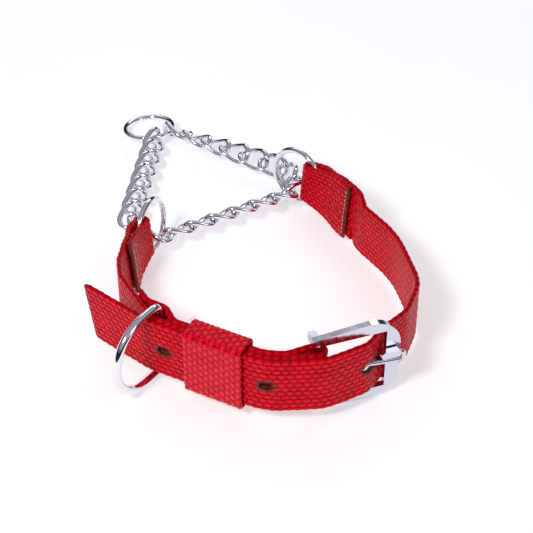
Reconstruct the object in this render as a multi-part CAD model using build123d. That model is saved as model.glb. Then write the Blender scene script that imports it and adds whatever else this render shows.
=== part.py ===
from build123d import *
import math
import os

# Martingale (half-check) collar, fastened and lying on its lower edges. Millimetres.
# Working axes: X to the right, Y towards the leash ring, Z up, strap lower edge at Z = 0.

# webbing
WEB_WIDTH = 25.0
WEB_THICK = 2.0
LAYER_GAP = 0.3
HOLE_LONG = 5.0
HOLE_HIGH = 3.6

# hardware
RING_MID_RADIUS = 11.5
RING_WIRE = 2.4
LEASH_MID_RADIUS = 10.6
LEASH_WIRE = 2.5
D_WIRE = 3.3
D_HALF_BAR = 15.9
D_STRAIGHT = 8.6
LINK_WIRE = 2.35
LINK_LONG = 15.4
LINK_WIDE = 10.8
LINK_TWIST = 90.0
LINK_SLACK = 0.6

# buckle
WINDOW_LONG = 24.0
WINDOW_HIGH = 27.0
ARM_HIGH = 4.9
FRONT_BAR = 5.6
FRAME_THICK = 2.5
FRAME_CORNER = 12.0
HEEL_RADIUS = 1.5
HEEL_SETBACK = 1.25
FRAME_SPOT = (20.8, -75.1, 12.5)
FRAME_YAW = 19.4
TONGUE_WIRE = 2.0
HEEL_SPOT = -2.4
ARM_TAPER = 1.6
LUG_LONG = 3.0
LUG_DEEP = 6.0
EYE_RADIUS = 3.0
EYE_HIGH = 3.2
EYE_PLAY = 0.06
SHANK_END = 28.2
TONGUE_TIP = 30.3
TONGUE_TURN = 3.8
TONGUE_TAB = (7.4, 2.4, 3.0)
TONGUE_SLOT = (13.0, 14.0, 5.0)

# strap ends at the O-rings
FOLD_HIGH = 17.0
FOLD_TAPER = 20.0
FOLD_GAP = 3.0
RIGHT_RING = (12.8, 43.7, 13.5)
RIGHT_HEADING = -40.0
RIGHT_LEAN = -7.0
RIGHT_BEND = -19.0
LEFT_RING = (-46.8, 11.0, 11.9)
LEFT_HEADING = -112.0
LEFT_LEAN = 5.0
LEFT_BEND = 16.0

# strap paths in plan, corner by corner, with the radius of each turn
LONG_POINTS = [
    (-69.0, -38.4),
    (-43.2, -59.6),
    (-0.5, -81.6),
    (21.3, -80.2),
    (36.6, -72.0),
    (42.3, -63.2),
    (51.5, -54.0),
    (57.4, -38.0),
    (50.6, -9.0),
    (38.9, 8.5),
]
LONG_RADII = [30.0, 25.0, 20.0, 9.0, 9.0, 12.0, 20.0, 50.0]
SHORT_OUTER = [(-56.2, -26.5), (-55.2, -34.0), (-41.8, -57.8), (-35.0, -61.2), (0.0, -79.26)]
SHORT_INNER = [
    (8.0, -76.4),
    (0.47, -76.93),
    (-33.6, -59.4),
    (-37.0, -51.9),
    (-43.8, -48.2),
    (-47.4, -42.0),
]
SHORT_RADII = [10.0, 12.0, 10.0, 22.7, 2.78, 2.78, 10.0, 20.4, 4.0, 4.0, 5.0]
HOLE_SPOTS = (40.0, 81.5, 163.0)
TONGUE_HOLE = (17.9, -0.6, 38.0)
TONGUE_HOLE_LONG = 9.4
TONGUE_HOLE_HIGH = 4.3

# D-ring
D_SPOT = (-39.7, -55.0, 11.7)
D_HEADING = -126.0
D_CORNER = 3.0

# leash ring
LEASH_SPOT = (-52.6, 87.8, 7.4)
LEASH_TURN = -67.3
LEASH_TIP = -9.0

# chain runs: links, first and last bearing, rise, first and last roll about the run, pitch
CHAIN_RUNS = [
    (7, -98.0, -98.0, -2.0, -45.0, -45.0, 8.7),
    (2, -56.2, -14.4, -0.4, -45.0, -45.0, 9.3),
    (6, 27.4, 27.4, 1.3, -45.0, -45.0, 9.6),
    (2, 68.4, 109.4, 0.8, -45.0, -45.0, 9.3),
    (6, 150.3, 150.3, 0.3, -45.0, 45.0, 9.9),
]

# sewing
THREAD_THICK = 0.5
STITCH_LONG = 2.0
STITCH_STEP = 3.0

# keeper
KEEPER_LONG = 24.0
KEEPER_THICK = 1.6
KEEPER_SPOT = 61.0

# how the collar lies: front lifted on the buckle and the D-ring
REST_TILT = -3.6


def left_of(direction):
    return Vector(-direction.Y, direction.X, 0)


def route(points, radii):
    """A plan path: straight pieces joined by tangent arcs. Each piece is (start, end, centre, turn)."""
    pts = [Vector(x, y, 0) for x, y in points]
    pieces = []
    here = pts[0]
    for before, corner, after, radius in zip(pts, pts[1:], pts[2:], radii):
        u = (corner - before).normalized()
        v = (after - corner).normalized()
        turn = math.atan2(u.cross(v).Z, u.dot(v))
        run = radius * math.tan(abs(turn) / 2)
        start = corner - u * run
        end = corner + v * run
        side = 1 if turn > 0 else -1
        centre = start + left_of(u) * (radius * side)
        pieces.append((here, start, None, 0.0))
        pieces.append((start, end, centre, turn))
        here = end
    pieces.append((here, pts[-1], None, 0.0))
    return pieces


def length_of(piece):
    start, end, centre, turn = piece
    return (end - start).length if centre is None else (start - centre).length * abs(turn)


def spot(path, distance):
    """(point, heading) at a distance along a path."""
    for piece in path:
        start, end, centre, turn = piece
        long = length_of(piece)
        if distance <= long or piece is path[-1]:
            if centre is None:
                u = (end - start).normalized()
                return start + u * distance, u
            arm = (start - centre).rotate(Axis.Z, math.degrees(turn * distance / long))
            u = left_of(arm.normalized()) * (1 if turn > 0 else -1)
            return centre + arm, u
        distance -= long


def offset_edges(path, aside):
    """The path moved aside, to the left of travel, as edges."""
    edges = []
    for start, end, centre, turn in path:
        if centre is None:
            n = left_of((end - start).normalized()) * aside
            edges.append(Edge.make_line(start + n, end + n))
            continue
        grow = 1 - aside / (start - centre).length * (1 if turn > 0 else -1)
        a = centre + (start - centre) * grow
        b = centre + (end - centre) * grow
        m = centre + ((start - centre) * grow).rotate(Axis.Z, math.degrees(turn / 2))
        edges.append(Edge.make_three_point_arc(a, m, b))
    return edges


def band(path, low=0.0, high=WEB_WIDTH, thick=WEB_THICK):
    """Webbing standing on edge along a plan path."""
    one = offset_edges(path, thick / 2)
    two = offset_edges(path, -thick / 2)
    ends = [
        Edge.make_line(one[0] @ 0, two[0] @ 0),
        Edge.make_line(one[-1] @ 1, two[-1] @ 1),
    ]
    face = Face(Wire(one + two + ends))
    if face.normal_at().Z < 0:
        face = -face
    return Pos(0, 0, low) * extrude(face, amount=high - low, dir=(0, 0, 1))


def beside(path, distance, aside, height):
    """A frame on the strap: x along it, y out of its left face, z up."""
    point, u = spot(path, distance)
    n = left_of(u)
    origin = point + n * aside + Vector(0, 0, height)
    return Plane(origin=origin, x_dir=u, z_dir=(0, 0, 1)).location


def punched(path, distance, height=WEB_WIDTH / 2):
    """The cutter for an oval hole melted through the strap."""
    slot = SlotOverall(HOLE_LONG, HOLE_HIGH)
    cutter = Rot(90, 0, 0) * extrude(slot, amount=8, both=True)
    return beside(path, distance, 0, height) * cutter


def ring_frame(centre, heading, lean):
    """x from the ring's centre towards the strap, y along the ring's axis, z up in its plane."""
    return Pos(*centre) * Rot(0, 0, heading) * Rot(lean, 0, 0)


# the fold at an O-ring, in the ring's own frame: two layers gripping the ring's wire
FOLD_MID = FOLD_GAP / 2 + WEB_THICK / 2
CLOSED_MID = (WEB_THICK + LAYER_GAP) / 2
hole_half = RING_MID_RADIUS - RING_WIRE / 2
BIGHT = math.sqrt(hole_half**2 - (FOLD_HIGH / 2) ** 2) - 0.35 + FOLD_GAP / 2
OPEN_END = RING_MID_RADIUS + RING_WIRE / 2 + 0.6


def fold(side, bend, closed, back, main):
    """Folded strap end. side: which side of the ring plane the long layer is on; bend: how far the
    closed layers turn from the ring's plane; then where they close, and where each layer ends."""
    q = FOLD_MID * side
    c = CLOSED_MID * side
    turned = Pos(OPEN_END, 0, 0) * Rot(0, 0, bend)

    def aft(distance, aside):
        at = (turned * Pos(distance, aside, 0)).position
        return at.X, at.Y

    points = [
        aft(main, c),
        aft(closed, c),
        (OPEN_END, q),
        (BIGHT - FOLD_MID, q),
        (BIGHT - FOLD_MID, -q),
        (OPEN_END, -q),
        aft(closed, -c),
        aft(back, -c),
    ]
    tight = FOLD_MID - 0.001
    radii = [8.0, 8.0, tight, tight, 8.0, 8.0]
    layers = band(route(points, radii), -WEB_WIDTH / 2, WEB_WIDTH / 2)
    half = FOLD_HIGH / 2
    wide = WEB_WIDTH / 2
    full = wide + 1
    ramp = BIGHT + FOLD_TAPER
    far = OPEN_END + main + 1
    shape = Polyline(
        (0, -half),
        (BIGHT, -half),
        (ramp, -wide),
        (ramp, -full),
        (far, -full),
        (far, full),
        (ramp, full),
        (ramp, wide),
        (BIGHT, half),
        (0, half),
        (0, -half),
    )
    keep = Rot(90, 0, 0) * extrude(make_face(shape), amount=30, both=True)
    return layers & keep, turned * Pos(main, c, 0)


def ring(radius, wire):
    return Rot(90, 0, 0) * Torus(radius, wire / 2)


def end_section(at):
    """The webbing's cross-section, as a face across the strap."""
    return at * Rot(0, 90, 0) * Rectangle(WEB_WIDTH, WEB_THICK)


def strap_end(path, distance):
    """A frame at mid width, x along the strap."""
    point, u = spot(path, distance)
    return Plane(origin=point + Vector(0, 0, WEB_WIDTH / 2), x_dir=u, z_dir=(0, 0, 1)).location


parts = {}

# ---- O-rings and the strap ends folded round them
right_at = ring_frame(RIGHT_RING, RIGHT_HEADING, RIGHT_LEAN)
left_at = ring_frame(LEFT_RING, LEFT_HEADING, LEFT_LEAN)
parts["right_ring"] = right_at * ring(RING_MID_RADIUS, RING_WIRE)
parts["left_ring"] = left_at * ring(RING_MID_RADIUS, RING_WIRE)
right_fold, right_tail = fold(1, RIGHT_BEND, 7.0, 21.0, 23.0)
left_fold, left_tail = fold(-1, LEFT_BEND, 7.0, 15.0, 17.0)

# ---- long (billet) strap: tail tip, through the buckle, round the right side to the ring
long_path = route(LONG_POINTS, LONG_RADII)
long_length = sum(length_of(p) for p in long_path)
long_band = band(long_path)
right_join = loft(
    [
        end_section(right_at * right_tail),
        end_section(strap_end(long_path, long_length) * Rot(0, 0, 180)),
    ]
)
tip_at = strap_end(long_path, 0) * Pos(0, 0, -WEB_WIDTH / 2)
tip_shape = Polyline((-5, -1), (6.5, -1), (5.2, 0.6), (0.6, 23.0), (2.6, 26), (-5, 26), (-5, -1))
tip_tool = tip_at * Rot(90, 0, 0) * extrude(make_face(tip_shape), amount=4, both=True)
billet = long_band - tip_tool

# ---- buckle
frame_at = Pos(*FRAME_SPOT) * Rot(0, 0, FRAME_YAW)
half_window = WINDOW_HIGH / 2
half_frame = half_window + ARM_HIGH
frame_long = WINDOW_LONG + FRONT_BAR
frame_start = HEEL_SPOT - 2.0
narrow = half_frame - ARM_TAPER
plate = make_face(
    Polyline(
        (frame_start, -narrow),
        (frame_long - FRAME_CORNER, -half_frame),
        (frame_long, -half_frame),
        (frame_long, half_frame),
        (frame_long - FRAME_CORNER, half_frame),
        (frame_start, narrow),
        (frame_start, -narrow),
    )
)
corners = [v for v in plate.vertices() if v.X > WINDOW_LONG]
plate = fillet(corners, FRAME_CORNER)
window_start = frame_start - 1
plate = plate - Pos((WINDOW_LONG + window_start) / 2, 0, 0) * Rectangle(
    WINDOW_LONG - window_start, WINDOW_HIGH
)
frame = Rot(90, 0, 0) * extrude(plate, amount=-FRAME_THICK)
for side in (1, -1):
    lug = Pos(frame_start, 0, side * (half_window + narrow) / 2) * Box(
        LUG_LONG, LUG_DEEP, narrow - half_window, align=(Align.MIN, Align.MIN, Align.CENTER)
    )
    frame = frame + lug
heel_bar = Pos(HEEL_SPOT, HEEL_SETBACK, 0) * Cylinder(HEEL_RADIUS, WINDOW_HIGH + 1)
frame = frame + heel_bar
parts["buckle_frame"] = frame_at * frame
heel = (frame_at * Pos(HEEL_SPOT, HEEL_SETBACK, 0)).position

# ---- tongue: an eye on the heel bar, a shank through the strap hole, a folded-back tip
eye = Cylinder(EYE_RADIUS, EYE_HIGH) - Cylinder(HEEL_RADIUS + EYE_PLAY, 2 * EYE_HIGH)
eye = Pos(HEEL_SPOT, HEEL_SETBACK, 0) * eye
r = TONGUE_WIRE / 2
rest_on_bar = -r - 0.25
shank_line = Line((HEEL_SPOT + 2.2, HEEL_SETBACK, 0), (SHANK_END, rest_on_bar - 0.4, 0))
turn_line = ThreePointArc(
    (SHANK_END, rest_on_bar - 0.4, 0),
    (TONGUE_TIP, rest_on_bar - 0.5, TONGUE_TURN / 2),
    (SHANK_END, rest_on_bar - 0.6, TONGUE_TURN),
)
shank = sweep(Plane(origin=shank_line @ 0, z_dir=shank_line % 0) * Circle(r), shank_line)
turn = sweep(Plane(origin=turn_line @ 0, z_dir=turn_line % 0) * Circle(r), turn_line)
tab = Pos(SHANK_END - 3.2, rest_on_bar - 0.6, TONGUE_TURN + 0.2) * Box(*TONGUE_TAB)
tab = fillet(tab.edges().filter_by(Axis.Y), 1.0)
tongue = eye + shank + turn + tab
parts["buckle_tongue"] = frame_at * tongue

# ---- holes punched through the long strap
for distance in HOLE_SPOTS:
    billet = billet - punched(long_path, distance)
tongue_hole = frame_at * Pos(*TONGUE_HOLE[:2], 0) * Rot(0, 0, TONGUE_HOLE[2]) * Rot(90, 0, 0)
slot = SlotOverall(TONGUE_HOLE_LONG, TONGUE_HOLE_HIGH)
billet = billet - tongue_hole * extrude(slot, amount=4, both=True)
parts["billet_strap"] = billet + right_join + right_at * right_fold

# ---- short (buckle) strap: left ring, past the D-ring, round the heel bar and back inside
around = HEEL_RADIUS + LAYER_GAP + WEB_THICK / 2
short_path = route(
    SHORT_OUTER
    + [
        (heel.X + around, heel.Y - around),
        (heel.X + around, heel.Y + around * 1.52),
    ]
    + SHORT_INNER,
    SHORT_RADII,
)
short_band = band(short_path)
left_join = loft([end_section(left_at * left_tail), end_section(strap_end(short_path, 0))])
tongue_slot = frame_at * Pos(0.5, HEEL_SETBACK, 0) * Box(*TONGUE_SLOT)
parts["buckle_strap"] = short_band - tongue_slot + left_join + left_at * left_fold

# ---- D-ring, its straight bar between the two layers
d_at = Pos(*D_SPOT) * Rot(0, 0, D_HEADING)
h = D_HALF_BAR
k = D_CORNER
s = D_STRAIGHT
bend45 = k * (1 - math.sqrt(0.5))
d_line = Wire(
    [
        Edge.make_line((0, 0, k - h), (0, 0, h - k)),
        Edge.make_three_point_arc((0, 0, h - k), (bend45, 0, h - bend45), (k, 0, h)),
        Edge.make_line((k, 0, h), (s, 0, h)),
        Edge.make_three_point_arc((s, 0, h), (s + h, 0, 0), (s, 0, -h)),
        Edge.make_line((s, 0, -h), (k, 0, -h)),
        Edge.make_three_point_arc((k, 0, -h), (bend45, 0, bend45 - h), (0, 0, k - h)),
    ]
)
parts["d_ring"] = d_at * sweep(Plane.XY.offset(k - h) * Circle(D_WIRE / 2), d_line)

# ---- keeper: a sleeve of webbing round all three layers
stack = 2 * (WEB_THICK + LAYER_GAP)
inner_deep = stack + WEB_THICK + 0.7
inner_high = WEB_WIDTH + 0.8
keeper_point, keeper_way = spot(long_path, KEEPER_SPOT)
keeper_at = Plane(
    origin=keeper_point + left_of(keeper_way) * stack / 2 + Vector(0, 0, WEB_WIDTH / 2),
    x_dir=left_of(keeper_way),
    z_dir=keeper_way,
).location
sleeve = RectangleRounded(
    inner_deep + 2 * KEEPER_THICK, inner_high + 2 * KEEPER_THICK, KEEPER_THICK + 0.5
) - RectangleRounded(inner_deep, inner_high, 0.5)
flap = Pos(inner_deep / 2 + 1.5 * KEEPER_THICK, 1.0) * Rectangle(KEEPER_THICK, 13)
sleeve = extrude(sleeve + flap, amount=KEEPER_LONG / 2, both=True)
parts["keeper_loop"] = keeper_at * sleeve

# ---- chain of twisted links, laid link by link from the leash ring and back to it
end_mid = (LINK_LONG - LINK_WIRE) / 2
side_mid = (LINK_WIDE - LINK_WIRE) / 2


def twisted(x, y):
    """A point of the flat oval, turned about the long axis by its share of the twist."""
    turn = math.radians(LINK_TWIST / 2) * x / end_mid
    return Vector(x, y * math.cos(turn), y * math.sin(turn))


flat = end_mid - side_mid
slope = math.radians(LINK_TWIST / 2) / end_mid * side_mid
around_end = [math.pi * i / 8 for i in range(1, 8)]
half_line = Edge.make_spline(
    [twisted(0, side_mid), twisted(-flat / 2, side_mid), twisted(-flat, side_mid)]
    + [twisted(-flat - side_mid * math.sin(a), side_mid * math.cos(a)) for a in around_end]
    + [twisted(-flat, -side_mid), twisted(-flat / 2, -side_mid), twisted(0, -side_mid)],
    tangents=[Vector(-1, 0, -slope), Vector(1, 0, -slope)],
)
half_link = sweep(
    Plane(origin=half_line @ 0, z_dir=half_line % 0) * Circle(LINK_WIRE / 2), half_line
)
link = half_link + Rot(0, 0, 180) * half_link


def heading(azimuth, rise):
    a = math.radians(azimuth)
    e = math.radians(rise)
    return Vector(math.cos(a) * math.cos(e), math.sin(a) * math.cos(e), math.sin(e))


leash_at = Pos(*LEASH_SPOT) * Rot(0, 0, LEASH_TURN) * Rot(0, LEASH_TIP, 0)
at = (leash_at * Pos(LEASH_MID_RADIUS, 0, 0)).position
link_at = []
before = None
for count, bearing, last_bearing, rise, roll, last_roll, pitch in CHAIN_RUNS:
    for i in range(count):
        share = i / max(count - 1, 1)
        u = heading(bearing + (last_bearing - bearing) * share, rise)
        up = u.cross(Vector(0, 0, 1)).cross(u)
        turn_by = Rot(roll + (last_roll - roll) * share, 0, 0)
        facing = Plane(origin=(0, 0, 0), x_dir=u, z_dir=up).location * turn_by
        near_wire = (facing * Pos(0, 1, -1)).position.normalized()
        if before is None:
            at = at + u * (end_mid - LINK_WIRE / 2 - LEASH_WIRE / 2 - LINK_SLACK)
        else:
            old_u, old_wire, old_pitch = before
            slack = 2 * end_mid - (pitch + old_pitch) / 2
            at = at + (old_u + u) * end_mid + old_wire.cross(near_wire).normalized() * slack
        before = (u, (facing * Pos(0, 1, 1)).position.normalized(), pitch)
        link_at.append(Pos(*at) * facing)
        parts[f"chain_link_{len(link_at):02d}"] = link_at[-1] * link

# ---- leash ring
parts["leash_ring"] = leash_at * Rot(90, 0, 0) * ring(LEASH_MID_RADIUS, LEASH_WIRE)

# ---- sewing: rows of stitches lying on both faces of the sewn layers
def row(start, end, face, out):
    """Stitches from start to end, given as (along, height), on the face at that depth."""
    length = math.hypot(end[0] - start[0], end[1] - start[1])
    count = max(1, int(length / STITCH_STEP))
    slope = math.degrees(math.atan2(end[1] - start[1], end[0] - start[0]))
    bars = []
    for i in range(count):
        t = (i + 0.5) / count
        x = start[0] + (end[0] - start[0]) * t
        z = start[1] + (end[1] - start[1]) * t
        depth = face + out * THREAD_THICK / 2
        bars.append(Pos(x, depth, z) * Rot(0, -slope, 0) * Box(STITCH_LONG, THREAD_THICK, THREAD_THICK))
    return bars


def box_stitch(at, low, high, half, faces):
    """A rectangle of stitches, sewn through, on the given (depth, outward side) faces."""
    bars = []
    for depth, out in faces:
        bars += row((low, -half), (low, half), depth, out)
        bars += row((high, -half), (high, half), depth, out)
        bars += row((low + 1.5, half), (high - 1.5, half), depth, out)
        bars += row((low + 1.5, -half), (high - 1.5, -half), depth, out)
    return at * Compound(children=bars)


SEWN_DEPTH = CLOSED_MID + WEB_THICK / 2
SEWN_FACES = [(SEWN_DEPTH, 1), (-SEWN_DEPTH, -1)]
right_sewn = right_at * Pos(OPEN_END, 0, 0) * Rot(0, 0, RIGHT_BEND)
parts["right_ring_stitching"] = box_stitch(right_sewn, 9.0, 19.0, 9.0, SEWN_FACES)
left_sewn = left_at * Pos(OPEN_END, 0, 0) * Rot(0, 0, LEFT_BEND)
parts["left_ring_stitching"] = box_stitch(left_sewn, 9.0, 13.5, 9.0, SEWN_FACES)

# ---- the collar as it lies, origin at the bottom centre of everything
lie = Rot(REST_TILT, 0, 0)
whole = Compound(children=[lie * p for p in parts.values()]).bounding_box()
shift = Pos(-(whole.min.X + whole.max.X) / 2, -(whole.min.Y + whole.max.Y) / 2, -whole.min.Z)
rest = shift * lie

os.makedirs("parts", exist_ok=True)
for name, part in parts.items():
    solids = (rest * part).solids()
    shape = solids[0] if len(solids) == 1 else Compound(children=list(solids))
    export_step(shape, f"parts/{name}.step")
    print(name, len(solids), round(part.volume, 1), all(x.is_valid for x in solids))
print("size", whole.size)
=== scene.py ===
import math

import bpy
import numpy as np
from mathutils import Matrix, Vector


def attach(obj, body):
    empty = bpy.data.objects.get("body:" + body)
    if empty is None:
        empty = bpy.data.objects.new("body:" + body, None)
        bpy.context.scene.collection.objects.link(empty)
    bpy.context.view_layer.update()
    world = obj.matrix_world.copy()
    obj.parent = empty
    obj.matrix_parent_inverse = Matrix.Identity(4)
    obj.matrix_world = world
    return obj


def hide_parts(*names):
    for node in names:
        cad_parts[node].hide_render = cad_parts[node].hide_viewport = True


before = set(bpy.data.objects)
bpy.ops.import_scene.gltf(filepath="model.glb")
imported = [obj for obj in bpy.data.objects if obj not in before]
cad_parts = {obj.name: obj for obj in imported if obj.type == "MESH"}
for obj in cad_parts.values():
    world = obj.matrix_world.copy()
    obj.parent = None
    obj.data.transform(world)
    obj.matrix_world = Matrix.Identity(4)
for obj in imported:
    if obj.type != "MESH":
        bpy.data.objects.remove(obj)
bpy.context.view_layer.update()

# ------------------------------------------------------------------ sizes, millimetres
WIDTH = 25.0
THICK = 2.0
LAYER_GAP = 0.3
FOLD_HIGH = 17.0
FOLD_TAPER = 20.0
FOLD_GAP = 3.0
RING_MID = 11.5
RING_WIRE = 2.4

# how the collar lies in the frame
TILT = -3.6
SHIFT = (5.807, -8.834, 2.240)

# each O-ring and its fold: centre, heading, lean, bend of the closed layers, side of the long layer
RIGHT = ((12.8, 43.7, 13.5), -40.0, -7.0, -19.0, 1)
LEFT = ((-46.8, 11.0, 11.9), -112.0, 5.0, 16.0, -1)

# strap routes in plan, corner by corner, with the radius of each turn
LONG_POINTS = [(-69.0, -38.4), (-43.2, -59.6), (-0.5, -81.6), (21.3, -80.2), (36.6, -72.0),
               (42.3, -63.2), (51.5, -54.0), (57.4, -38.0), (50.6, -9.0), (38.9, 8.5)]
LONG_RADII = [30.0, 25.0, 20.0, 9.0, 9.0, 12.0, 20.0, 50.0]
FRAME_SPOT = (20.8, -75.1, 12.5)
FRAME_YAW = 19.4
HEEL = (-2.4, 1.25)
AROUND = 1.5 + LAYER_GAP + THICK / 2
SHORT_OUTER = [(-56.2, -26.5), (-55.2, -34.0), (-41.8, -57.8), (-35.0, -61.2), (0.0, -79.26)]
SHORT_INNER = [(8.0, -76.4), (0.47, -76.93), (-33.6, -59.4), (-37.0, -51.9), (-43.8, -48.2), (-47.4, -42.0)]
SHORT_RADII = [10.0, 12.0, 10.0, 22.7, 2.78, 2.78, 10.0, 20.4, 4.0, 4.0, 5.0]

# holes: along the long strap, and the tongue's in the buckle's own axes
HOLE_SPOTS = (40.0, 81.5, 163.0)
TONGUE_HOLE = (17.9, -0.6)
# half length and half height of each kind of hole
PUNCHED = (2.6, 1.75)
TONGUE_SLIT = (5.3, 2.4)
HEEL_SLOT = (7.2, 2.9)
KEEPER_SPOT = 61.0
KEEPER_LONG = 24.0
KEEPER_THICK = 1.6

REST = Matrix.Translation(SHIFT) @ Matrix.Rotation(math.radians(TILT), 4, "X")
MM = 0.001


def rest(points):
    """Working points in millimetres, as the collar lies in the frame, in metres."""
    m = np.array(REST)
    p = np.asarray(points, float)
    return (p @ m[:3, :3].T + m[:3, 3]) * MM


def add_object(name, mesh):
    obj = bpy.data.objects.new(name, mesh)
    bpy.context.scene.collection.objects.link(obj)
    return obj


def smooth_object(name, points, faces):
    """A smooth-shaded object from points in metres."""
    mesh = bpy.data.meshes.new(name)
    mesh.from_pydata(points, [], faces)
    mesh.polygons.foreach_set("use_smooth", [True] * len(mesh.polygons))
    return add_object(name, mesh)


def tube_faces(first, rings, sides):
    """The faces of a closed tube whose points start at first, ring by ring."""
    faces = []
    for k in range(rings - 1):
        for g in range(sides):
            a = first + k * sides + g
            b = first + k * sides + (g + 1) % sides
            faces.append((a, b, b + sides, a + sides))
    faces.append(tuple(first + g for g in reversed(range(sides))))
    faces.append(tuple(first + (rings - 1) * sides + g for g in range(sides)))
    return faces


# ------------------------------------------------------------------ strap routes
def route(points, radii, step=0.35):
    """Points along straight runs joined by tangent arcs, in plan."""
    pts = [np.array(p, float) for p in points]
    out = [pts[0]]

    def go(a, b):
        n = max(1, int(np.linalg.norm(b - a) / step))
        for i in range(1, n + 1):
            out.append(a + (b - a) * i / n)

    here = pts[0]
    for before, corner, after, radius in zip(pts, pts[1:], pts[2:], radii):
        u = (corner - before) / np.linalg.norm(corner - before)
        v = (after - corner) / np.linalg.norm(after - corner)
        turn = math.atan2(u[0] * v[1] - u[1] * v[0], float(u @ v))
        run = radius * math.tan(abs(turn) / 2)
        start = corner - u * run
        go(here, start)
        side = 1 if turn > 0 else -1
        centre = start + np.array([-u[1], u[0]]) * radius * side
        arm = start - centre
        n = max(3, int(radius * abs(turn) / step))
        for i in range(1, n + 1):
            c, s = math.cos(turn * i / n), math.sin(turn * i / n)
            out.append(centre + np.array([c * arm[0] - s * arm[1], s * arm[0] + c * arm[1]]))
        here = out[-1]
    go(here, pts[-1])
    return np.array(out)


def lengths(path):
    """The distance along a path to each of its points."""
    return np.concatenate([[0], np.cumsum(np.linalg.norm(np.diff(path, axis=0), axis=1))])


def resampled(at, distances, values):
    """Rows of values, known at the given distances, read off at other distances."""
    return np.column_stack([np.interp(at, distances, values[:, k]) for k in range(values.shape[1])])


def nearest(path, point):
    """The distance along a path to its point nearest the given one."""
    return lengths(path)[np.argmin(np.linalg.norm(path - point, axis=1))]


def at_distance(path, d):
    """The point and the heading at a distance along a path."""
    before, point, after = resampled([d - 0.5, d, d + 0.5], lengths(path), path)
    return point, (after - before) / np.linalg.norm(after - before)


FOLD_MID = FOLD_GAP / 2 + THICK / 2
CLOSED = (THICK + LAYER_GAP) / 2
RING_HOLE = RING_MID - RING_WIRE / 2
BIGHT = math.sqrt(RING_HOLE**2 - (FOLD_HIGH / 2) ** 2) - 0.35 + FOLD_GAP / 2
OPEN_END = RING_MID + RING_WIRE / 2 + 0.6
FOLD_TURN = 8.0


def ring_matrix(spec):
    centre, heading, lean, _bend, _side = spec
    return (Matrix.Translation(centre) @ Matrix.Rotation(math.radians(heading), 4, "Z")
            @ Matrix.Rotation(math.radians(lean), 4, "X"))


def fold(spec, closed, back, main):
    """The folded end in space: points, width directions, half widths; from the long layer's end."""
    bend, side = spec[3], spec[4]
    q = FOLD_MID * side
    c = CLOSED * side
    cb, sb = math.cos(math.radians(bend)), math.sin(math.radians(bend))

    def aft(d, aside):
        return OPEN_END + cb * d - sb * aside, sb * d + cb * aside

    plan = route([aft(main, c), aft(closed, c), (OPEN_END, q), (BIGHT - FOLD_MID, q),
                  (BIGHT - FOLD_MID, -q), (OPEN_END, -q), aft(closed, -c), aft(back, -c)],
                 [FOLD_TURN, FOLD_TURN, FOLD_MID - 0.001, FOLD_MID - 0.001, FOLD_TURN, FOLD_TURN])
    half = np.interp(plan[:, 0], [BIGHT, BIGHT + FOLD_TAPER], [FOLD_HIGH / 2, WIDTH / 2])
    m = np.array(ring_matrix(spec))
    p = np.column_stack([plan, np.zeros(len(plan))]) @ m[:3, :3].T + m[:3, 3]
    w = np.tile(m[:3, 2], (len(plan), 1))
    return p, w, half


def standing(plan):
    """A strap on its lower edge along a plan route."""
    p = np.column_stack([plan, np.full(len(plan), WIDTH / 2)])
    return p, np.tile([0.0, 0.0, 1.0], (len(p), 1)), np.full(len(p), WIDTH / 2)


def bridge(a, b):
    """A smooth stretch from the end of a to the start of b."""
    pa, wa, ha = a
    pb, wb, hb = b
    p0, p1 = pa[-1], pb[0]
    gap = np.linalg.norm(p1 - p0)
    t0 = (pa[-1] - pa[-4]) / np.linalg.norm(pa[-1] - pa[-4]) * gap
    t1 = (pb[3] - pb[0]) / np.linalg.norm(pb[3] - pb[0]) * gap
    n = max(6, int(gap / 0.35))
    t = (np.arange(1, n) / n)[:, None]
    p = ((2 * t**3 - 3 * t**2 + 1) * p0 + (t**3 - 2 * t**2 + t) * t0
         + (-2 * t**3 + 3 * t**2) * p1 + (t**3 - t**2) * t1)
    w = wa[-1] * (1 - t) + wb[0] * t
    h = ha[-1] * (1 - t[:, 0]) + hb[0] * t[:, 0]
    return p, w, h


def joined(*parts):
    """Several stretches as one."""
    return tuple(np.concatenate([q[k] for q in parts]) for k in range(3))


def evenly(path, step):
    """The same route at an even step, lightly smoothed."""
    p, w, h = path
    keep = np.concatenate([[True], np.linalg.norm(np.diff(p, axis=0), axis=1) > 1e-4])
    p, w, h = p[keep], w[keep], h[keep]
    s = lengths(p)
    q = np.linspace(0, s[-1], int(s[-1] / step) + 1)
    P = resampled(q, s, p)
    W = resampled(q, s, w)
    H = np.interp(q, s, h)
    for _ in range(2):
        P[1:-1] = (P[:-2] + 2 * P[1:-1] + P[2:]) / 4
    T = np.gradient(P, axis=0)
    T /= np.linalg.norm(T, axis=1)[:, None]
    W -= (W * T).sum(1)[:, None] * T
    W /= np.linalg.norm(W, axis=1)[:, None]
    return q, P, W, np.cross(W, T), H


# ------------------------------------------------------------------ woven band
# lengths in millimetres: a yarn's float, the mesh's step, the rounded edge, the stretch that a cut end
# shortens, and the melted rim of a hole
YARN_LONG = 3.1
LENGTH_STEP = 0.34
COLUMNS = 86
EDGE = 0.95
CUT_REACH = 14.0
MELTED_RIM = 1.3
UV_PER_MM = 0.1


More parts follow.
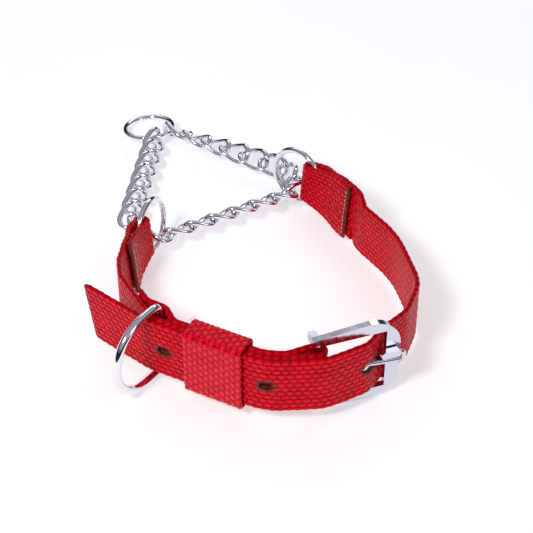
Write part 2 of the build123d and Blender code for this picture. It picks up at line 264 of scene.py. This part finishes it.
def weave(s, v, half, rows):
    """Height of the yarn floats, 0 in the gaps and 1 on the crowns; rows run along the band."""
    row_place = (v / half + 1) / 2 * rows
    row = np.floor(row_place)
    aside = row_place - row - 0.5
    slant = 0.20 * aside * np.where(row % 2 == 0, 1.0, -1.0)
    float_place = s / YARN_LONG + 0.5 * (row % 2) + slant
    count = np.floor(float_place)
    along = float_place - count - 0.5
    uneven = np.sin(row * 12.9898 + count * 78.233) * 0.5
    long = np.clip(1 - np.abs(along * 1.86) ** 2.4, 0, 1)
    wide = np.clip(1 - np.abs(aside * 1.98) ** 2.6, 0, 1)
    return np.sqrt(long) * (0.25 + 0.75 * np.sqrt(wide)) * (0.93 + 0.07 * uneven)


def columns_across():
    """Places across the band, from -1 to 1, closer together at the edges."""
    x = np.linspace(-1, 1, COLUMNS)
    x = np.sign(x) * (1 - (1 - np.abs(x)) ** 1.22)
    x[0] = -1
    x[-1] = 1
    return x


def hole_walls(mask, top, low):
    """Quads joining the two faces round the cells that a hole leaves out."""
    inside = np.pad(mask, 1)
    walls = []
    for r, c in np.argwhere(mask):
        if not inside[r, c + 1]:
            walls.append([top[r, c], top[r, c + 1], low[r, c + 1], low[r, c]])
        if not inside[r + 2, c + 1]:
            walls.append([top[r + 1, c + 1], top[r + 1, c], low[r + 1, c], low[r + 1, c + 1]])
        if not inside[r + 1, c]:
            walls.append([top[r + 1, c], top[r, c], low[r, c], low[r + 1, c]])
        if not inside[r + 1, c + 2]:
            walls.append([top[r, c + 1], top[r + 1, c + 1], low[r + 1, c + 1], low[r, c + 1]])
    return np.array(walls)


def woven_band(
    name, path, thick=THICK, rows=12, rough=0.70, cut=None, holes=(), sealed=(1.3, 1.3), offset=0.0
):
    """A closed strip of webbing with its yarns raised, its cut ends melted and its holes open.
    cut: how far in the first end is cut, across the band; holes: (along, across, half long, half high);
    sealed: how far the melting reaches in from each end. Returns the object and the band's length."""
    q, P, W, N, H = evenly(path, LENGTH_STEP)
    x = columns_across()
    n, m, total = len(q), len(x), q[-1]

    # each point's place along and across the band
    first = cut(x)[None, :] if cut else 0
    S = np.tile(q[:, None], (1, m))
    S = np.where(S < CUT_REACH, first + S * (CUT_REACH - first) / CUT_REACH, S)
    half = np.interp(S, q, H)
    V = x[None, :] * half

    # how full the band is: rounded edges, rounded and melted ends
    inset = np.clip((np.abs(V) - (half - EDGE)) / EDGE, 0, 1)
    body = np.sqrt(np.clip(1 - inset**2, 0, 1))
    ends = np.minimum(S - first, total - S)
    cap = np.sqrt(np.clip(1 - (1 - np.clip(ends / 0.8, 0, 1)) ** 2, 0, 1))
    melt = np.clip(1 - ends / np.interp(S, [0, total], sealed), 0, 1)

    # edges scalloped by the yarns that turn there, and slightly wavy
    slack = 0.07 * np.sin(q * 2.03 + offset) + 0.05 * np.sin(q * 0.71 + 1.0)
    scallop = 0.16 * np.cos(2 * np.pi * S / YARN_LONG + (x[None, :] > 0) * np.pi) * inset**2
    across = V + np.sign(V) * scallop + np.interp(S, q, slack) * np.abs(x[None, :]) ** 4

    def spread(values):
        return resampled(S.ravel(), q, values).reshape(n, m, 3)

    centre = spread(P) + spread(W) * across[..., None]
    out = spread(N)
    grids = []
    heights = []
    for face in (1, -1):
        height = weave(S + (0.5 * YARN_LONG if face < 0 else 0) + offset, V, half, rows) * (1 - 0.75 * melt)
        rise = (thick / 2 - rough * 0.80 + rough * height) * body * (0.12 + 0.88 * cap)
        grids.append(centre + out * (face * rise)[..., None])
        heights.append(height)

    # one list of points, column by column; the two faces share both edges and both ends
    index = np.zeros((2, n, m), int)
    columns = [(0, c) for c in range(m)] + [(1, c) for c in range(1, m - 1)]
    for k, (f, c) in enumerate(columns):
        index[f, :, c] = np.arange(k * n, (k + 1) * n)
    index[1, :, [0, m - 1]] = index[0, :, [0, m - 1]]
    for end in (0, n - 1):
        index[1, end, :] = index[0, end, :]
    verts = np.concatenate([grids[f][:, c] for f, c in columns])
    uv = np.concatenate([np.column_stack([S[:, c], across[:, c]]) for f, c in columns])
    crown = np.concatenate([heights[f][:, c] for f, c in columns])
    melted = np.concatenate([melt[:, c] for f, c in columns])

    # the holes, and the melted rim round each
    mask = np.zeros((n - 1, m - 1), bool)
    mid_s = (S[1:, 1:] + S[:-1, :-1]) / 2
    mid_v = (V[1:, 1:] + V[:-1, :-1]) / 2
    for along, aside, half_long, half_high in holes:
        mask |= ((mid_s - along) / half_long) ** 2 + ((mid_v - aside) / half_high) ** 2 < 1
        near = ((uv[:, 0] - along) / (half_long + MELTED_RIM)) ** 2
        near += ((uv[:, 1] - aside) / (half_high + MELTED_RIM)) ** 2
        melted = np.maximum(melted, np.clip(1.25 - near, 0, 1) * 0.9)

    quads = []
    for face, grid in enumerate(index):
        corners = [grid[:-1, :-1], grid[1:, :-1], grid[1:, 1:], grid[:-1, 1:]]
        if face == 1:
            corners.reverse()
        quads.append(np.stack(corners, -1)[~mask])
    if mask.any():
        quads.append(hole_walls(mask, index[0], index[1]))
    faces = [list(dict.fromkeys(f)) for f in np.concatenate(quads).tolist()]
    faces = [f for f in faces if len(f) >= 3]
    used = sorted({v for f in faces for v in f})
    place = {v: i for i, v in enumerate(used)}
    obj = smooth_object(name, rest(verts[used]).tolist(), [[place[v] for v in f] for f in faces])

    mesh = obj.data
    loops = np.zeros(len(mesh.loops), np.int32)
    mesh.loops.foreach_get("vertex_index", loops)
    cloth_uv = mesh.uv_layers.new(name="cloth")
    cloth_uv.data.foreach_set("uv", (uv[used][loops] * UV_PER_MM).astype(np.float32).ravel())
    # crown: the yarns' heights, which the cloth material turns into painted shade in the gaps and a painted
    # highlight on the crowns
    for label, values in (("crown", crown), ("melt", melted)):
        layer = mesh.attributes.new(label, "FLOAT", "POINT")
        layer.data.foreach_set("value", values[used].astype(np.float32))
    return obj, total


# ------------------------------------------------------------------ materials
def new_material(name):
    mat = bpy.data.materials.new(name)
    mat.use_nodes = True
    nt = mat.node_tree
    nt.nodes.clear()
    out = nt.nodes.new("ShaderNodeOutputMaterial")
    bsdf = nt.nodes.new("ShaderNodeBsdfPrincipled")
    nt.links.new(bsdf.outputs["BSDF"], out.inputs["Surface"])
    return mat, nt, bsdf


def node(nt, kind, **values):
    made = nt.nodes.new("ShaderNode" + kind)
    for key, value in values.items():
        setattr(made, key, value)
    return made


def noise(nt, where, scale, detail):
    """Procedural noise at the given coordinates."""
    made = node(nt, "TexNoise")
    made.inputs["Scale"].default_value = scale
    made.inputs["Detail"].default_value = detail
    nt.links.new(where, made.inputs["Vector"])
    return made


def blend(nt, kind, factor, one, two):
    """Two colours mixed; the factor is a number or a node's output."""
    made = node(nt, "Mix", data_type="RGBA", blend_type=kind)
    if isinstance(factor, float):
        made.inputs["Factor"].default_value = factor
    else:
        nt.links.new(factor, made.inputs["Factor"])
    nt.links.new(one, made.inputs["A"])
    nt.links.new(two, made.inputs["B"])
    return made.outputs["Result"]


def bumped(nt, bsdf, height, strength, distance):
    made = node(nt, "Bump")
    made.inputs["Strength"].default_value = strength
    made.inputs["Distance"].default_value = distance
    nt.links.new(height, made.inputs["Height"])
    nt.links.new(made.outputs["Normal"], bsdf.inputs["Normal"])


def ramp(nt, source, stops):
    """A colour ramp fed by source, with stops of (place, colour)."""
    made = node(nt, "ValToRGB")
    el = made.color_ramp.elements
    while len(el) < len(stops):
        el.new(0.5)
    for e, (pos, colour) in zip(el, stops):
        e.position = pos
        e.color = (*colour, 1)
    nt.links.new(source, made.inputs["Fac"])
    return made


def cloth(name, low, mid, high, roughness=0.36, gloss=0.22):
    """Woven nylon: painted shade between the yarns, a painted highlight on their crowns, brown where it is
    melted.
    """
    mat, nt, bsdf = new_material(name)
    crown = node(nt, "Attribute", attribute_name="crown")
    melt = node(nt, "Attribute", attribute_name="melt")
    uv = node(nt, "UVMap", uv_map="cloth").outputs["UV"]
    stretch = node(nt, "Mapping")
    stretch.inputs["Scale"].default_value = (2.2, 60.0, 1.0)
    nt.links.new(uv, stretch.inputs["Vector"])
    fibre = noise(nt, stretch.outputs["Vector"], 1.9, 5.0)
    fibre.inputs["Roughness"].default_value = 0.62
    cloudy = noise(nt, uv, 1.3, 3.0)
    scorch = noise(nt, uv, 9.0, 4.0)

    # the crown heights pick the colour: painted shade in the gaps between yarns, painted highlight on the
    # crowns
    shaded = tuple(0.48 * c for c in mid)
    painted_shade_and_highlight = ramp(nt, crown.outputs["Fac"], [(0.06, low), (0.34, shaded), (0.70, mid), (0.97, high)])
    tint = ramp(nt, fibre.outputs["Fac"], [(0.34, (0.72, 0.6, 0.6)), (0.62, (1.12, 1.3, 1.3))])
    cloud = ramp(nt, cloudy.outputs["Fac"], [(0.3, (0.86, 0.84, 0.84)), (0.7, (1.08, 1.05, 1.05))])
    brown = ramp(nt, scorch.outputs["Fac"], [(0.3, (0.07, 0.02, 0.014)), (0.7, (0.24, 0.06, 0.045))])
    burnt = ramp(nt, melt.outputs["Fac"], [(0.12, (0, 0, 0)), (0.55, (1, 1, 1))])
    yarns = blend(nt, "MULTIPLY", 0.85, painted_shade_and_highlight.outputs["Color"], tint.outputs["Color"])
    dyed = blend(nt, "MULTIPLY", 1.0, yarns, cloud.outputs["Color"])
    whole = blend(nt, "MIX", burnt.outputs["Color"], dyed, brown.outputs["Color"])
    nt.links.new(whole, bsdf.inputs["Base Color"])

    smooth, dull = roughness - 0.1, roughness + 0.16
    rough = ramp(nt, fibre.outputs["Fac"], [(0.2, (smooth,) * 3), (0.8, (dull,) * 3)])
    nt.links.new(rough.outputs["Color"], bsdf.inputs["Roughness"])
    bsdf.inputs["Specular IOR Level"].default_value = gloss
    bsdf.inputs["Specular Tint"].default_value = (1.0, 0.07, 0.13, 1)
    bumped(nt, bsdf, fibre.outputs["Fac"], 0.5, 0.00014)
    return mat


def chrome(name, colour, low, high, scale=420.0, dents=0.00003):
    """Bright plate: roughness between low and high, slightly dented."""
    mat, nt, bsdf = new_material(name)
    place = node(nt, "TexCoord").outputs["Object"]
    fine = noise(nt, place, scale, 4.0)
    broad = noise(nt, place, 90.0, 2.0)
    tone = ramp(nt, fine.outputs["Fac"], [(0.2, tuple(c * 0.93 for c in colour)), (0.7, colour)])
    nt.links.new(tone.outputs["Color"], bsdf.inputs["Base Color"])
    rough = ramp(nt, fine.outputs["Fac"], [(0.35, (low,) * 3), (0.75, (high,) * 3)])
    nt.links.new(rough.outputs["Color"], bsdf.inputs["Roughness"])
    bsdf.inputs["Metallic"].default_value = 1.0
    bumped(nt, bsdf, broad.outputs["Fac"], 0.35, dents)
    return mat


# each webbing's colours: between the yarns (painted shade), the body, and on the crowns (painted highlight)
RED = cloth("red nylon webbing", (0.10, 0.0, 0.004), (0.66, 0.0, 0.010), (1.0, 0.008, 0.030), 0.27)
# the keeper's copy of the webbing: lighter body and crowns and darker gaps than the strap's, painted light
# and shade
KEEPER_RED = cloth(
    "red keeper webbing", (0.05, 0.0, 0.002), (0.76, 0.0, 0.014), (1.0, 0.014, 0.044), 0.20, gloss=0.50
)
CHROME = chrome("bright plated wire", (0.86, 0.86, 0.90), 0.035, 0.10)
LINK_CHROME = chrome("plated chain", (0.84, 0.84, 0.90), 0.10, 0.20)
FRAME_CHROME = chrome("plated frame", (0.68, 0.68, 0.77), 0.12, 0.22, scale=260.0, dents=0.00006)
EDGE_BEVEL = 0.0003

# ------------------------------------------------------------------ hardware: the CAD pieces, plated
for name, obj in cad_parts.items():
    if name.startswith("chain_link"):
        mat = LINK_CHROME
    elif name in ("right_ring", "left_ring", "leash_ring", "d_ring"):
        mat = CHROME
    elif name in ("buckle_frame", "buckle_tongue"):
        mat = FRAME_CHROME
    else:
        continue
    obj.data.materials.clear()
    obj.data.materials.append(mat)
    if name.startswith("buckle"):
        bevel = obj.modifiers.new("edges", "BEVEL")
        bevel.width = EDGE_BEVEL
        bevel.segments = 2
        bevel.limit_method = "ANGLE"
        bevel.angle_limit = math.radians(40)

# ------------------------------------------------------------------ straps
# where each fold's layers close, and where its short and long layers end
long_plan = route(LONG_POINTS, LONG_RADII)
right_fold = fold(RIGHT, 7.0, 21.0, 23.0)
left_fold = fold(LEFT, 7.0, 15.0, 17.0)
long_part = standing(long_plan)
billet_path = joined(long_part, bridge(long_part, right_fold), right_fold)


def tail_cut(x):
    """The slanted tail: longer at the top edge, its corners rounded off."""
    lean = 2.9 - 2.3 * x
    return lean + 2.0 * np.clip((np.abs(x) - 0.86) / 0.14, 0, 1) ** 2


def on_buckle(along, aside):
    """A place in plan given in the buckle's own axes."""
    yaw = math.radians(FRAME_YAW)
    c, s = math.cos(yaw), math.sin(yaw)
    return np.array([FRAME_SPOT[0] + along * c - aside * s, FRAME_SPOT[1] + along * s + aside * c])


tongue_s = nearest(long_plan, on_buckle(*TONGUE_HOLE))
holes = [(d, 0.0, *PUNCHED) for d in HOLE_SPOTS] + [(tongue_s, 0.0, *TONGUE_SLIT)]
billet, billet_long = woven_band("billet_webbing", billet_path, cut=tail_cut, holes=holes, sealed=(1.9, 1.3))
billet.data.materials.append(RED)
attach(billet, "collar")
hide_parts("billet_strap")

heel = on_buckle(*HEEL)
short_corners = (
    SHORT_OUTER
    + [(heel[0] + AROUND, heel[1] - AROUND), (heel[0] + AROUND, heel[1] + AROUND * 1.52)]
    + SHORT_INNER
)
short_plan = route(short_corners, SHORT_RADII)
left_back = tuple(values[::-1] for values in left_fold)
short_part = standing(short_plan)
lead_path = joined(left_back, bridge(left_back, short_part))
lead = evenly(lead_path, LENGTH_STEP)[0][-1]
buckle_path = joined(lead_path, short_part)
heel_s = lead + nearest(short_plan, heel + np.array([AROUND, 0.3]))
buckle_strap, buckle_long = woven_band(
    "buckle_webbing", buckle_path, holes=[(heel_s, 0.0, *HEEL_SLOT)], sealed=(1.1, 1.3), offset=1.3
)
buckle_strap.data.materials.append(RED)
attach(buckle_strap, "collar")
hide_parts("buckle_strap")

# ------------------------------------------------------------------ keeper
stack = 2 * (THICK + LAYER_GAP)
inner_deep = stack + THICK + 0.7
inner_high = WIDTH + 0.8
spot, way = at_distance(long_plan, KEEPER_SPOT)
kx = np.array([-way[1], way[0], 0.0])
kz = np.array([way[0], way[1], 0.0])
ky = np.cross(kz, kx)
origin = np.array([spot[0], spot[1], WIDTH / 2]) + kx * stack / 2
deep = inner_deep / 2 + KEEPER_THICK / 2
high = inner_high / 2 + KEEPER_THICK / 2
KEEPER_TURN = 1.3
LAP_TURN = 3.0
# once round the straps, then lapped over its own start
loop = route(
    [
        (deep, -7.0),
        (deep, high),
        (-deep, high),
        (-deep, -high),
        (deep + 0.1, -high),
        (deep + 0.25, -9.0),
        (deep + KEEPER_THICK, -4.5),
        (deep + KEEPER_THICK, 7.5),
    ],
    [KEEPER_TURN, KEEPER_TURN, KEEPER_TURN, KEEPER_TURN, LAP_TURN, LAP_TURN],
)
around = origin + loop[:, :1] * kx + loop[:, 1:] * ky
keeper_path = (around, np.tile(kz, (len(around), 1)), np.full(len(around), KEEPER_LONG / 2))
keeper, keeper_long = woven_band(
    "keeper_webbing", keeper_path, thick=KEEPER_THICK, rows=11, rough=0.5, offset=0.7
)
keeper.data.materials.append(KEEPER_RED)
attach(keeper, "keeper_loop")
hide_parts("keeper_loop")


# ------------------------------------------------------------------ frayed yarns at the keeper's corner
def strand(start, lean, long, radius=0.13, sides=6, rings=7):
    """One loose yarn end, curling over as it leaves the keeper: its points and faces."""
    points = []
    for k in range(rings):
        t = k / (rings - 1)
        centre = start + lean * long * t + ky * long * 0.5 * t * (1 - t) + kx * long * 0.25 * t * t
        thin = radius * (1 - 0.6 * t)
        for g in range(sides):
            w = 2 * math.pi * g / sides
            points.append(centre + kx * thin * math.cos(w) + ky * thin * math.sin(w))
    return points, tube_faces(0, rings, sides)


frayed_points = []
frayed_faces = []
for i in range(9):
    start = origin + kx * (deep - 0.5 * i) + ky * (high - 0.1) - kz * (KEEPER_LONG / 2 - 0.5)
    lean = -kz * (0.75 + 0.2 * math.sin(3.1 * i))
    lean = lean + ky * (0.45 + 0.3 * math.sin(5.3 * i)) + kx * 0.3 * math.sin(2.3 * i)
    points, faces = strand(start, lean, 1.5 + 0.7 * math.sin(4.7 * i + 1.0))
    frayed_faces += [tuple(len(frayed_points) + v for v in f) for f in faces]
    frayed_points += points
frayed = smooth_object("keeper_frayed_yarns", rest(frayed_points).tolist(), frayed_faces)


# ------------------------------------------------------------------ sewing
def thread_material(name, colour):
    mat, nt, bsdf = new_material(name)
    place = node(nt, "TexCoord")
    twist = node(nt, "TexWave", bands_direction="DIAGONAL")
    twist.inputs["Scale"].default_value = 900.0
    twist.inputs["Distortion"].default_value = 0.6
    nt.links.new(place.outputs["Object"], twist.inputs["Vector"])
    tone = ramp(nt, twist.outputs["Fac"], [(0.2, tuple(c * 0.7 for c in colour)), (0.8, colour)])
    nt.links.new(tone.outputs["Color"], bsdf.inputs["Base Color"])
    bsdf.inputs["Roughness"].default_value = 0.5
    return mat


RED_THREAD = thread_material("red thread", (0.66, 0.01, 0.025))
frayed.data.materials.append(RED_THREAD)
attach(frayed, "keeper_loop")
PALE_THREAD = thread_material("pale thread", (0.80, 0.62, 0.60))


def stitches(name, matrix, lines, depths, material, radius=0.27, long=2.1, step=3.0, node_name=None):
    """Stitches lying along the given lines on the faces, each a small strand with its ends sunk."""
    rings = 7
    sides = 8
    verts = []
    faces = []
    m = np.array(REST @ matrix)
    for (x0, z0), (x1, z1) in lines:
        length = math.hypot(x1 - x0, z1 - z0)
        count = max(1, int(length / step))
        u = np.array([(x1 - x0) / length, 0, (z1 - z0) / length])
        for depth in depths:
            out = np.array([0, 1 if depth > 0 else -1, 0])
            cross = np.cross(u, out)
            for i in range(count):
                t = (i + 0.5) / count
                c = np.array([x0 + (x1 - x0) * t, depth, z0 + (z1 - z0) * t])
                faces += tube_faces(len(verts), rings, sides)
                for k in range(rings):
                    f = -1 + 2 * k / (rings - 1)
                    r = radius * max(0.25, math.sqrt(max(0, 1 - f**4)))
                    lift = 0.22 - 0.42 * f * f
                    for g in range(sides):
                        w = 2 * math.pi * g / sides
                        p = c + u * (f * long / 2) + cross * r * math.cos(w) + out * (lift + r * math.sin(w))
                        verts.append((m[:3, :3] @ p + m[:3, 3]) * MM)
    obj = smooth_object(name, [tuple(v) for v in verts], faces)
    obj.data.materials.append(material)
    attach(obj, "collar")
    if node_name:
        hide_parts(node_name)


def sewn(spec):
    """The closed layers of a fold: x along them from the open end, y out of their faces."""
    turned = Matrix.Translation((OPEN_END, 0, 0)) @ Matrix.Rotation(math.radians(spec[3]), 4, "Z")
    return ring_matrix(spec) @ turned


def box_lines(low, high, half):
    """A rectangle of sewing lines, from low to high along the strap."""
    return [
        ((low, -half), (low, half)),
        ((high, -half), (high, half)),
        ((low + 1.5, half), (high - 1.5, half)),
        ((low + 1.5, -half), (high - 1.5, -half)),
    ]


DEPTH = CLOSED + THICK / 2
BOTH_FACES = (DEPTH, -DEPTH)
right_sewn = sewn(RIGHT)
cross_lines = [((9, -9), (19, 9)), ((9, 9), (19, -9))]
stitches(
    "right_sewing",
    right_sewn,
    box_lines(9.0, 19.0, 9.0) + cross_lines,
    BOTH_FACES,
    RED_THREAD,
    node_name="right_ring_stitching",
)
stitches(
    "left_sewing",
    sewn(LEFT),
    box_lines(9.0, 13.5, 9.0),
    BOTH_FACES,
    PALE_THREAD,
    radius=0.22,
    node_name="left_ring_stitching",
)
stitches(
    "right_end_sewing",
    right_sewn,
    [((20.0, -10.5), (20.0, 10.5))],
    (-DEPTH,),
    PALE_THREAD,
    radius=0.2,
    long=1.3,
    step=1.9,
)

# ------------------------------------------------------------------ stage, light and camera
bpy.ops.mesh.primitive_plane_add(size=6)
floor = bpy.context.object
floor.name = "floor"
mat, nt, bsdf = new_material("white table")
grain = node(nt, "TexNoise")
grain.inputs["Scale"].default_value = 60.0
tone = ramp(nt, grain.outputs["Fac"], [(0.3, (0.80, 0.82, 0.83)), (0.7, (0.83, 0.85, 0.86))])
nt.links.new(tone.outputs["Color"], bsdf.inputs["Base Color"])
bsdf.inputs["Roughness"].default_value = 0.6
bsdf.inputs["Emission Color"].default_value = (1, 1, 1, 1)
bsdf.inputs["Emission Strength"].default_value = 0.42
floor.data.materials.append(mat)


LIGHT_AIM = (0, 0, 0.01)


def area(name, where, size, power):
    """A soft rectangular light aimed at the collar."""
    data = bpy.data.lights.new(name, "AREA")
    data.shape = "RECTANGLE"
    data.size, data.size_y = size
    data.energy = power
    obj = add_object(name, data)
    obj.location = where
    obj.rotation_euler = (Vector(LIGHT_AIM) - Vector(where)).to_track_quat("-Z", "Y").to_euler()


area("key", (-0.30, -0.42, 0.62), (0.16, 0.14), 2.7)
area("fill", (0.55, -0.45, 0.5), (0.25, 0.4), 0.6)
area("back", (0.1, 0.7, 0.5), (0.9, 0.25), 1.3)

world = bpy.data.worlds.new("studio")
bpy.context.scene.world = world
world.use_nodes = True
nt = world.node_tree
bg = nt.nodes["Background"]
place = node(nt, "TexCoord")
split = node(nt, "SeparateXYZ")
nt.links.new(place.outputs["Generated"], split.inputs["Vector"])
# a dark band above the horizon, so that the bright metal has dark edges
sky = ramp(
    nt,
    split.outputs["Z"],
    [
        (0.0, (0.40, 0.40, 0.42)),
        (0.06, (0.02, 0.02, 0.03)),
        (0.34, (0.04, 0.04, 0.05)),
        (0.52, (0.62, 0.62, 0.68)),
    ],
)
nt.links.new(sky.outputs["Color"], bg.inputs["Color"])
bg.inputs["Strength"].default_value = 0.55

CAMERA_SPOT = (0, -459.6, 385.7)
cam_data = bpy.data.cameras.new("camera")
cam_data.lens = 100.0
cam_data.sensor_width = 36.0
cam_data.clip_start = 0.01
cam = add_object("camera", cam_data)
where = Vector(rest([CAMERA_SPOT])[0])
target = Vector(rest([(0, 0, 0)])[0])
cam.location = where
cam.rotation_euler = (target - where).to_track_quat("-Z", "Y").to_euler()
bpy.context.scene.camera = cam
bpy.context.scene.view_settings.view_transform = "Standard"
